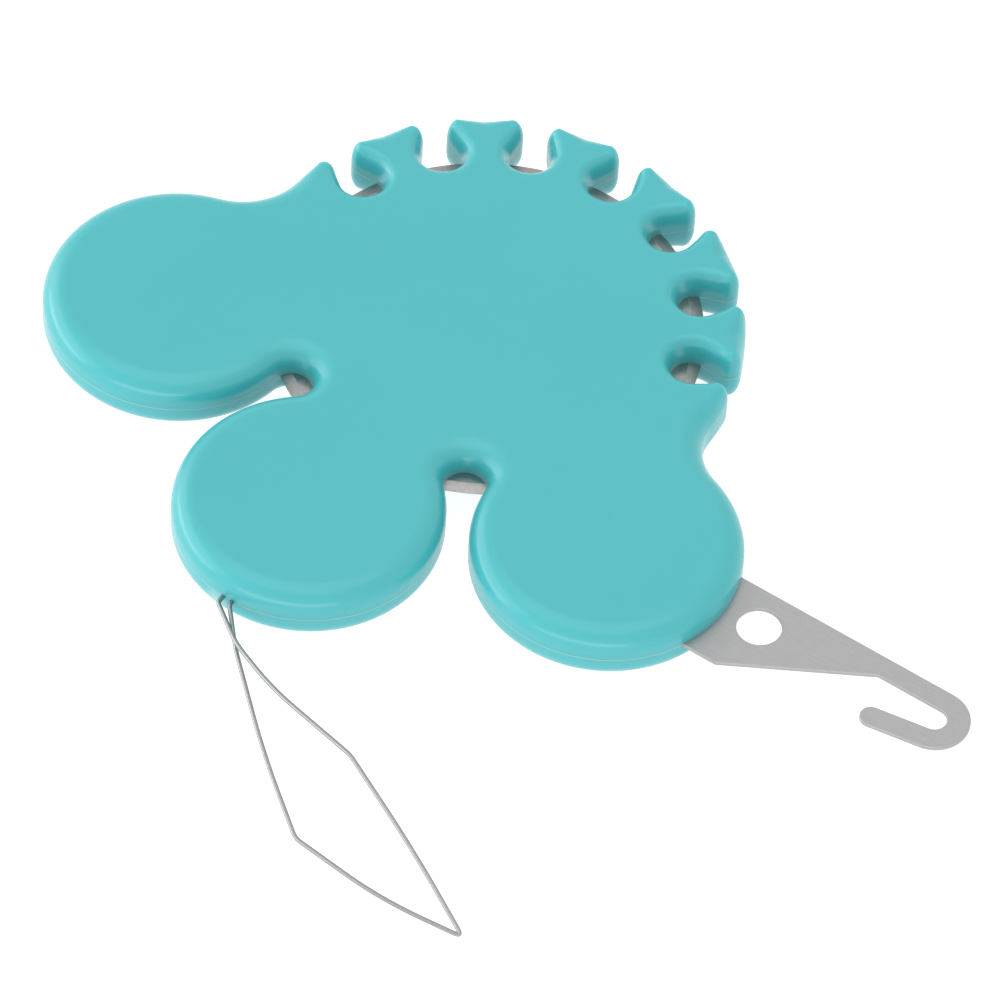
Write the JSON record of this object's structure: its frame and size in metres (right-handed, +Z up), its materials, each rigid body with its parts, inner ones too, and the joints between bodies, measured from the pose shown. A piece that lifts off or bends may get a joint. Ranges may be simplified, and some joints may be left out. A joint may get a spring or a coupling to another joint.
{
  "type": "needle threader with thread cutter",
  "caption": "Pocket needle threader: three-lobed moulded case with a slotted thread cutter, a stamped hook threader and a spring-wire loop threader.",
  "frame": {"origin": "centre of the round blade and of the toothed arc, projected onto the flat underside of the case", "axes": "+Z up through the thickness of the case, +Y towards the middle of the toothed arc, +X towards the hook threader"},
  "size_m": [0.0788, 0.0662, 0.0047],
  "materials": {
    "case_plastic": "satin moulded plastic, teal",
    "blade_steel": "ground blade steel",
    "plate_steel": "stamped stainless sheet, fine matt grain",
    "spring_wire": "drawn stainless spring wire"
  },
  "bodies": {
    "root": {"bottom_shell": "case_plastic", "top_shell": "case_plastic", "cutter_blade": "blade_steel", "hook_threader": "plate_steel", "wire_threader": "spring_wire"}
  },
  "joints": []
}
